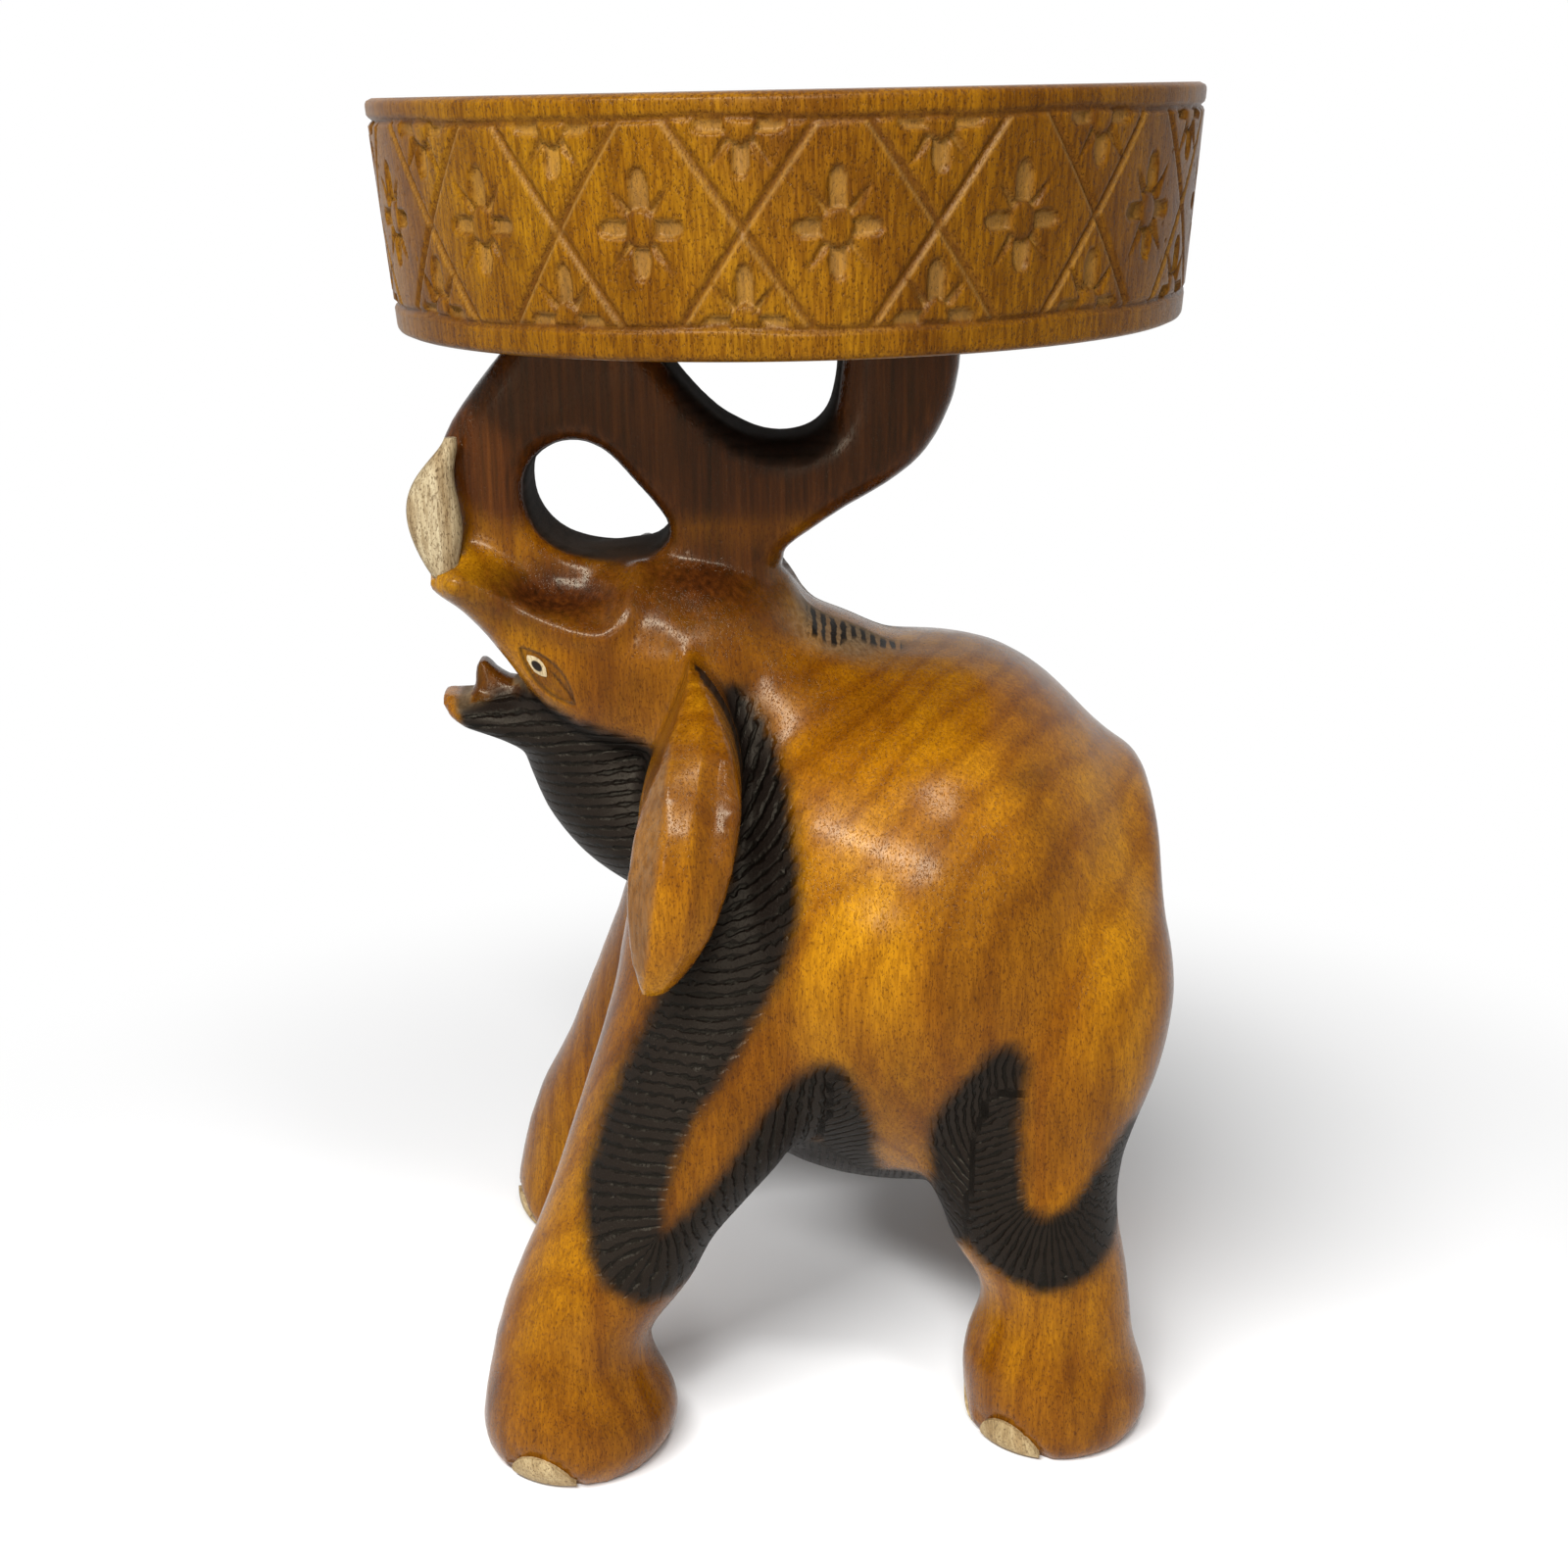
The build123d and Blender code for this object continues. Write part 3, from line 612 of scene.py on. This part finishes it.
# The count of strokes rises by one from each groove to the next; the V-tool wanders a little.
wander_size = 14.3
knife_size = 4.17
place = add(log_wood, "ShaderNodeTexCoord", out="Object")
stray = add(log_wood, "ShaderNodeTexNoise", out="Fac", Vector=place, Scale=1000 / wander_size,
            Detail=2.0)
stray = add(log_wood, "ShaderNodeMath", product, s0=stray, s1=0.42)
count = add(log_wood, "ShaderNodeMath", plus, s0=kept["strokes"], s1=stray)
count = add(log_wood, "ShaderNodeMath", {"operation": "FRACT"}, s0=count)
count = add(log_wood, "ShaderNodeMath", minus, s0=count, s1=0.5)
from_ridge = add(log_wood, "ShaderNodeMath", {"operation": "ABSOLUTE"}, s0=count)
knife = add(log_wood, "ShaderNodeTexNoise", out="Fac", Vector=place, Scale=1000 / knife_size,
            Detail=2.0)
knife = add(log_wood, "ShaderNodeMapRange", Value=knife, From_Min=0.3, From_Max=0.7,
            To_Min=-0.14, To_Max=0.10)
from_ridge = add(log_wood, "ShaderNodeMath", plus, s0=from_ridge, s1=knife)
groove = add(log_wood, "ShaderNodeMapRange", Value=from_ridge, From_Min=0.24, From_Max=0.44)
cut = add(log_wood, "ShaderNodeMath", product, s0=groove, s1=kept["stroke_depth"])
nape_cut = add(log_wood, "ShaderNodeMapRange", Value=from_ridge, From_Min=0.16, From_Max=0.28)
nape_cut = add(log_wood, "ShaderNodeMath", product, s0=nape_cut, s1=kept["nape"])
tone = add(log_wood, "ShaderNodeMix", over, out=colour, s0=nape_cut, s6=tone, s7="#0E0906")
soot = add(log_wood, "ShaderNodeValToRGB", {"stops": ((0.0, "#130D0A"), (1.0, "#040201"))},
           Fac=groove)
tone = add(log_wood, "ShaderNodeMix", over, out=colour, s0=kept["burn"], s6=tone, s7=soot)
feed(log_wood, "Base Color", tone)

# Scorched hair is half matt; burnt walls without strokes and bare grey wood are matt.
uncut = add(log_wood, "ShaderNodeMath", minus, s0=kept["burn"], s1=kept["stroke_depth"])
for value, low, high, roughest in (
    (kept["burn"], 0.4, 1.0, 0.48), (uncut, 0.4, 0.9, 0.9), (kept["grey"], 0.2, 0.9, 0.6),
):
    matt = add(log_wood, "ShaderNodeMapRange", Value=value, From_Min=low, From_Max=high,
               To_Min=0.2, To_Max=roughest)
    gloss = add(log_wood, "ShaderNodeMath", larger, s0=gloss, s1=matt)
feed(log_wood, "Roughness", gloss)
pore_bump = add(log_wood, "ShaderNodeBump", Height=relief, Strength=0.4, Distance=0.0002)
hair_bump = add(log_wood, "ShaderNodeBump", {"invert": True}, Height=cut, Strength=0.8,
                Distance=0.0009, Normal=pore_bump)
feed(log_wood, "Normal", hair_bump)

carving = new_piece(carving_form, "carving", log_wood)
keep_values(
    carving, burn=burn, strokes=strokes, stroke_depth=stroke_depth, nape=nape,
    stain=stain, grey=grey, glow=glow,
)
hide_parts("carved_elephant")

# ---------------------------------------------------------------- the eyes
# Each eye is an almond of pale wood let into its socket, with an oval pupil burnt in.
left = -1
right = 1
eye_share = 0.70  # of the solid, whose rim lies under the lids
eye_sink = 1.0
pupil_half_long = 2.3
pupil_half_wide = 1.5
eye_wood, tone, gloss, relief = wood(
    "pale_eye_inlay", "#BFB08E", "#AE9B74", "#947F5A", roughness=0.42, shine=0.2, fibre=0.3
)
pupil = add(eye_wood, "ShaderNodeAttribute", {"attribute_name": "pupil"}, out="Fac")
tone = add(eye_wood, "ShaderNodeMix", over, out=colour, s0=pupil, s6=tone, s7="#140C08")
feed(eye_wood, "Base Color", tone)
for name, side in zip(eye_names, (left, right)):
    eye_form = merged_copy([name])
    low, high = (np.array(corner) * 1000 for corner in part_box(name))
    middle = (low + high) / 2
    bmesh.ops.subdivide_edges(eye_form, edges=eye_form.edges, cuts=3, use_grid_fill=True)
    offset = places(eye_form) - middle
    long_way = offset[:, 0] * math.cos(eye_lean) - offset[:, 2] * math.sin(eye_lean)
    wide_way = offset[:, 0] * math.sin(eye_lean) + offset[:, 2] * math.cos(eye_lean)
    long_way *= eye_share
    wide_way *= eye_share
    for vertex, far, wide, deep in zip(eye_form.verts, long_way, wide_way, offset[:, 1]):
        vertex.co = Vector((
            middle[0] + far * math.cos(eye_lean) + wide * math.sin(eye_lean),
            middle[1] + deep - side * eye_sink,
            middle[2] - far * math.sin(eye_lean) + wide * math.cos(eye_lean),
        )) / 1000
    oval = np.hypot(long_way / pupil_half_long, wide_way / pupil_half_wide)
    eye = new_piece(eye_form, f"{name}_inlay", eye_wood)
    keep_values(eye, pupil=soft_step(1.15, 0.85, oval))
    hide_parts(name)

# ---------------------------------------------------------------- tusks, toenails and pegs
# Pale close-grained wood, scraped and left unstained, is glued into the lip and the nail beds.
# Two beech dowels hold the seat down on the trunk.
tusk_wood, tone, gloss, relief = wood(
    "pale_tusk_wood", "#A89A7C", "#978766", "#80704F", roughness=0.5, shine=0.2, fibre=0.6
)
specks = add(tusk_wood, "ShaderNodeValToRGB", {"stops": ((0.60, "#FFFFFF"), (0.70, "#8A7250"))},
             Fac=upright_grain(tusk_wood, 1.6, 2.0, 2.0, 0.1))
tone = add(tusk_wood, "ShaderNodeMix", times, out=colour, s0=0.7, s6=tone, s7=specks)
feed(tusk_wood, "Base Color", tone)
tusk_bump = add(tusk_wood, "ShaderNodeBump", Height=relief, Strength=0.6, Distance=0.0003)
feed(tusk_wood, "Normal", tusk_bump)
nail_wood, tone, gloss, relief = wood(
    "pale_nail_wood", "#CABA95", "#B9A47B", "#9F885E", roughness=0.55, shine=0.2
)
feed(nail_wood, "Base Color", tone)
nail_bump = add(nail_wood, "ShaderNodeBump", Height=relief, Strength=0.6, Distance=0.0003)
feed(nail_wood, "Normal", nail_bump)
dowel_wood, tone, gloss, relief = wood(
    "dowel_beech", "#C9A46E", "#B98F58", "#9E7542", roughness=0.6, shine=0.2
)
feed(dowel_wood, "Base Color", tone)


def finish_with(material, *names):
    """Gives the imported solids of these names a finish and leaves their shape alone."""
    for name in names:
        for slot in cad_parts[name].material_slots:
            slot.material = material


finish_with(tusk_wood, "left_tusk", "right_tusk")
finish_with(nail_wood, *nail_names)
finish_with(dowel_wood, "seat_pegs")

# ---------------------------------------------------------------- the seat
# A drum turned from a log, its side carved by hand with a lattice of crossed V-cuts between two
# border lines.  A whole flower fills each space between crossings, and half a flower hangs from
# the border above each crossing and stands on the border below it.
seat_low, seat_high = (np.array(corner) * 1000 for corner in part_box("round_seat"))
seat_height = seat_high[2] - seat_low[2]
top_radius = (seat_high[0] - seat_low[0]) / 2
under_radius = top_radius - 6
rim_rounding = 2.5
seat_rows = 86
seat_columns = 1040
spaces = 15
first_crossing = 18  # degrees from the elephant's left, towards its tail
lower_border = 10.5
upper_border = 66.5
plain_edge = 3
band_middle = (lower_border + upper_border) / 2
band_half = (upper_border - lower_border) / 2
border_width = 2.8
border_depth = 1.7
arm_run = 0.35  # how far an arm runs aside before it meets the border, in spaces
arm_width = 2.9
arm_depth = 1.6
wall_width = 1.6  # the lit lower wall of each arm's cut
half_flower_drop = 0.4

seat_form = bmesh.new()
profile = []
for row in range(seat_rows + 1):
    height = seat_height * row / seat_rows
    radius = under_radius + (top_radius - under_radius) * row / seat_rows
    edge = min(height, seat_height - height)
    if edge < rim_rounding:
        radius -= rim_rounding - math.sqrt(rim_rounding**2 - (rim_rounding - edge) ** 2)
    profile.append(seat_form.verts.new(Vector((0, -radius, seat_low[2] + height)) / 1000))
for lower, upper in zip(profile, profile[1:]):
    seat_form.edges.new((lower, upper))
bmesh.ops.spin(
    seat_form, geom=seat_form.verts[:] + seat_form.edges[:], cent=(0, 0, 0), axis=(0, 0, 1),
    angle=2 * math.pi, steps=seat_columns, use_merge=True,
)
# The flat top and underside step in to the middle.
for share in (0.97, 0.60, 0.25):
    rims = [e for e in seat_form.edges if e.is_boundary]
    grown = bmesh.ops.extrude_edge_only(seat_form, edges=rims)
    for vertex in (g for g in grown["geom"] if isinstance(g, bmesh.types.BMVert)):
        on_top = vertex.co.z * 1000 > seat_low[2] + seat_height / 2
        wanted = share * (top_radius if on_top else under_radius) / 1000
        reach = math.hypot(vertex.co.x, vertex.co.y)
        vertex.co.x *= wanted / reach
        vertex.co.y *= wanted / reach
rims = [e for e in seat_form.edges if e.is_boundary]
bmesh.ops.holes_fill(seat_form, edges=rims, sides=0)
bmesh.ops.recalc_face_normals(seat_form, faces=seat_form.faces)

seat_at = places(seat_form)
bearing = np.degrees(np.arctan2(seat_at[:, 0], -seat_at[:, 1]))
spread = np.hypot(seat_at[:, 0], seat_at[:, 1])
height = seat_at[:, 2] - seat_low[2]
space_angle = 360 / spaces
space_width = math.radians(space_angle) * (under_radius + top_radius) / 2
turns = (bearing - first_crossing) / space_angle
crossing_number = np.round(turns)
flower_number = np.floor(turns)


def by_hand(number, salt, play):
    """A small slip of the carver's hand, the same for every vertex of one flower or crossing."""
    return play * np.sin(number % spaces * 12.9898 + salt * 78.233)


crossing_slip = by_hand(crossing_number, 1, 1.0)
flower_slip = by_hand(flower_number, 2, 0.9)
rising_slip = by_hand(crossing_number, 3, 0.8)
falling_slip = by_hand(crossing_number, 4, 0.8)
flower_lift = by_hand(flower_number, 5, 1.0)
wander = 0.45 * np.sin(np.radians(bearing * 7)) + 0.3 * np.sin(np.radians(bearing * 15 + 50))
from_crossing = (turns - crossing_number) * space_width - crossing_slip
from_middle = (turns - flower_number - 0.5) * space_width - flower_slip
above = height - band_middle


def v_cut(distance, width, depth):
    """The depth of a V-tool cut at this distance from its line."""
    return depth * np.clip(1 - np.abs(distance) / (width / 2), 0, 1)


def turned(across, rise, aim):
    """How far out along a direction each place lies, and how far beside it."""
    angle = math.radians(aim)
    out = across * math.cos(angle) + rise * math.sin(angle)
    aside = -across * math.sin(angle) + rise * math.cos(angle)
    return out, aside


button_half_wide = 4.6
button_half_tall = 5.6
button_dome = 0.7
petals = (  # aim in degrees, length, width, and how far from the middle it starts
    (90, 12, 7.4, 5.4), (270, 9.5, 7.0, 5.4), (0, 9, 6.6, 4.4), (180, 9, 6.6, 4.4),
)
ray_aims = (52, 128, 232, 308)
ray_start = 5.4
ray_length = 11.5
ray_half_wide = 2.0


def flower(across, rise):
    """The cuts round one button: four gouged petals, deepest at the button, and four V-cut rays."""
    oval = np.hypot(across / button_half_wide, rise / button_half_tall)
    cuts = [v_cut((oval - 1.08) * button_half_wide, 1.3, 0.9)]
    for aim, length, width, start in petals:
        out, aside = turned(across, rise, aim)
        share = np.clip((out - start) / length, 0, 1)
        half = width / 2 * np.sqrt(np.clip(1 - share**3, 0.0001, 1)) * (0.80 + 0.30 * share)
        scoop = 1.5 + 1.2 * (1 - share) - 0.4 * (aside / half) ** 2
        within = soft_step(0, 0.8, np.minimum(half - np.abs(aside), start + length - out))
        cuts.append(scoop * within * (out > start - 0.5))
    for aim in ray_aims:
        out, aside = turned(across, rise, aim)
        share = np.clip((out - ray_start) / ray_length, 0, 1)
        narrowing = np.abs(aside) / (ray_half_wide * (1 - share) + 0.05)
        ray = (0.5 + 1.9 * (1 - share)) * np.clip(1 - narrowing, 0, 1)
        cuts.append(ray * (out > ray_start - 0.2))
    dome = button_dome * np.clip(oval, 0, 1) ** 5
    return np.where(oval > 1.0, np.maximum.reduce(cuts), dome)


slope = arm_run * space_width / band_half
lean = math.hypot(1, slope)
under_rising = (from_crossing - slope * (above + rising_slip)) / lean
over_falling = (from_crossing + slope * (above - falling_slip)) / lean
arms = np.maximum(
    v_cut(under_rising, arm_width, arm_depth), v_cut(over_falling, arm_width, arm_depth)
)
lower_walls = np.maximum(
    v_cut(under_rising - 1.3, wall_width, 1), v_cut(over_falling + 1.3, wall_width, 1)
)
in_band = soft_step(0.6, 0.0, np.abs(above + wander) - band_half)
flowers = np.maximum.reduce([
    flower(from_middle, above + flower_lift),
    flower(from_crossing, above - band_half + half_flower_drop),
    flower(from_crossing, above + band_half - half_flower_drop),
]) * in_band
border = v_cut(np.abs(above + wander) - band_half - 0.9, border_width, border_depth)
on_side = (spread > under_radius - 4) * (height > plain_edge) * (height < seat_height - plain_edge)
cut = np.maximum.reduce([arms * in_band, flowers, border]) * on_side
for vertex, depth, reach in zip(seat_form.verts, cut, spread):
    if depth > 0:
        vertex.co.x *= 1 - depth / reach
        vertex.co.y *= 1 - depth / reach

# The same wood, stained yellower and sawn across.  The cuts and the flowers' outlines are painted
# darker as shade, the lit lower wall of each V-cut is painted lighter as a highlight, and the
# petals' floors are paler where the gouge scraped.
seat_wood, tone, gloss, relief = wood(
    "seat_rain_tree", "#835A09", "#784E06", "#6C4505", roughness=0.32, shine=0.09, fibre=0.45
)
saw_lines = add(seat_wood, "ShaderNodeValToRGB", {"stops": ((0.42, "#A88A62"), (0.55, "#FFFFFF"))},
                Fac=upright_grain(seat_wood, 1.2, 26, 2.0, 0.21))
tone = add(seat_wood, "ShaderNodeMix", times, out=colour, s0=0.5, s6=tone, s7=saw_lines)
# The first share lightens the tone, partly as painted highlight on lit lower walls; the cut share
# darkens it as painted shade.
for name, shade in (("scraped", "#96743F"), ("cut", "#4A2A0C")):
    share = add(seat_wood, "ShaderNodeAttribute", {"attribute_name": name}, out="Fac")
    tone = add(seat_wood, "ShaderNodeMix", over, out=colour, s0=share, s6=tone, s7=shade)
feed(seat_wood, "Base Color", tone)
seat_bump = add(seat_wood, "ShaderNodeBump", Height=relief, Strength=0.55, Distance=0.0003)
feed(seat_wood, "Normal", seat_bump)
seat = new_piece(seat_form, "carved_seat", seat_wood)
# Painted shade in the cuts and round the flowers, and painted highlight on the lower walls of the
# V-cuts.
lines = np.maximum(arms * in_band / arm_depth, border / border_depth)
outline = np.exp(-((flowers - 0.8) / 0.5) ** 2) * (flowers > 0.1)
scraped = np.maximum(
    0.28 * soft_step(1.2, 1.8, flowers), 0.38 * lower_walls * in_band * (flowers < 0.2)
)
keep_values(seat, cut=np.clip(np.maximum(0.7 * lines, 0.55 * outline), 0, 0.7), scraped=scraped)
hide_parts("round_seat")

# ---------------------------------------------------------------- studio
# The stool stands on a white paper sweep, with one bright strip lamp above and towards the camera
# and soft white light from all round.
camera_place = (-0.005, -0.777, 0.461)
camera_dip = 17.4  # degrees below level
camera_roll = -1.15
view = bpy.data.cameras.new("camera")
view.lens = 51.08
view.sensor_width = 36.0
camera = bpy.data.objects.new("camera", view)
camera.matrix_world = (
    Matrix.Translation(camera_place)
    @ Matrix.Rotation(math.radians(90 - camera_dip), 4, "X")
    @ Matrix.Rotation(math.radians(camera_roll), 4, "Z")
)
bpy.context.scene.collection.objects.link(camera)
bpy.context.scene.camera = camera
bpy.context.scene.view_settings.view_transform = "Standard"

floor_half = 6
fade_start = 0.16  # metres from the stool's middle, where the paper begins to turn pure white
fade_end = 0.52
floor_form = bmesh.new()
bmesh.ops.create_grid(floor_form, x_segments=1, y_segments=1, size=floor_half)
floor_mesh = bpy.data.meshes.new("floor")
floor_form.to_mesh(floor_mesh)
floor_form.free()
floor = bpy.data.objects.new("floor", floor_mesh)
bpy.context.scene.collection.objects.link(floor)
paper = bpy.data.materials.new("white_paper_sweep")
paper.use_nodes = True
paper_shader = paper.node_tree.nodes["Principled BSDF"]
paper_shader.inputs["Base Color"].default_value = linear("#F4F4F4")
paper_shader.inputs["Roughness"].default_value = 0.9


def seen(holder):
    """1 for what the camera sees straight, mirrored or through glass, and 0 for the light."""
    rays = add(holder, "ShaderNodeLightPath").node.outputs
    either = add(holder, "ShaderNodeMath", larger, s0=rays["Is Glossy Ray"],
                 s1=rays["Is Transmission Ray"])
    return add(holder, "ShaderNodeMath", larger, s0=rays["Is Camera Ray"], s1=either)


paper_place = add(paper, "ShaderNodeTexCoord", out="Object")
from_stool = add(paper, "ShaderNodeVectorMath", {"operation": "LENGTH"}, out="Value",
                 s0=paper_place)
fade = add(paper, "ShaderNodeMapRange", {"interpolation_type": "SMOOTHSTEP"}, Value=from_stool,
           From_Min=fade_start, From_Max=fade_end)
fade = add(paper, "ShaderNodeMath", product, s0=fade, s1=seen(paper))
white = add(paper, "ShaderNodeEmission", Color="#FFFFFF", Strength=1.0)
both = add(paper, "ShaderNodeMixShader", Fac=fade, s1=paper_shader.outputs["BSDF"], s2=white)
paper_output = paper.node_tree.nodes["Material Output"]
paper.node_tree.links.new(both, paper_output.inputs["Surface"])
floor_mesh.materials.append(paper)

studio = bpy.data.worlds.new("studio")
bpy.context.scene.world = studio
studio.use_nodes = True
soft_light = studio.node_tree.nodes["Background"]
soft_light.inputs["Color"].default_value = linear("#FFFFFF")
soft_light.inputs["Strength"].default_value = 0.18
backdrop = add(studio, "ShaderNodeBackground", Color="#FFFFFF", Strength=1.0)
both = add(studio, "ShaderNodeMixShader", Fac=seen(studio), s1=soft_light.outputs[0], s2=backdrop)
world_output = studio.node_tree.nodes["World Output"]
studio.node_tree.links.new(both, world_output.inputs["Surface"])

# Each lamp is given by the middles of its two ends, its height in metres and its power in watts.
lit_middle = Vector((0, 0, 0.2))
for name, left_end, right_end, high, power in (
    ("strip_lamp", Vector((-0.75, -0.70, 1.23)), Vector((0.18, -1.05, 0.77)), 0.13, 26),
    ("top_lamp", Vector((0.15, -0.653, 1.29)), Vector((0.30, -0.653, 1.29)), 0.15, 4),
    ("front_lamp", Vector((-0.32, -1.2, 0.50)), Vector((-0.14, -1.25, 0.50)), 0.18, 2),
):
    lamp = bpy.data.lights.new(name, "AREA")
    lamp.shape = "RECTANGLE"
    lamp.size = (right_end - left_end).length
    lamp.size_y = high
    lamp.energy = power
    lit = bpy.data.objects.new(name, lamp)
    place = (left_end + right_end) / 2
    away = (place - lit_middle).normalized()
    across = away.cross(right_end - left_end).normalized().cross(away)
    turned_to_stool = Matrix((across, away.cross(across), away)).transposed().to_4x4()
    lit.matrix_world = Matrix.Translation(place) @ turned_to_stool
    bpy.context.scene.collection.objects.link(lit)
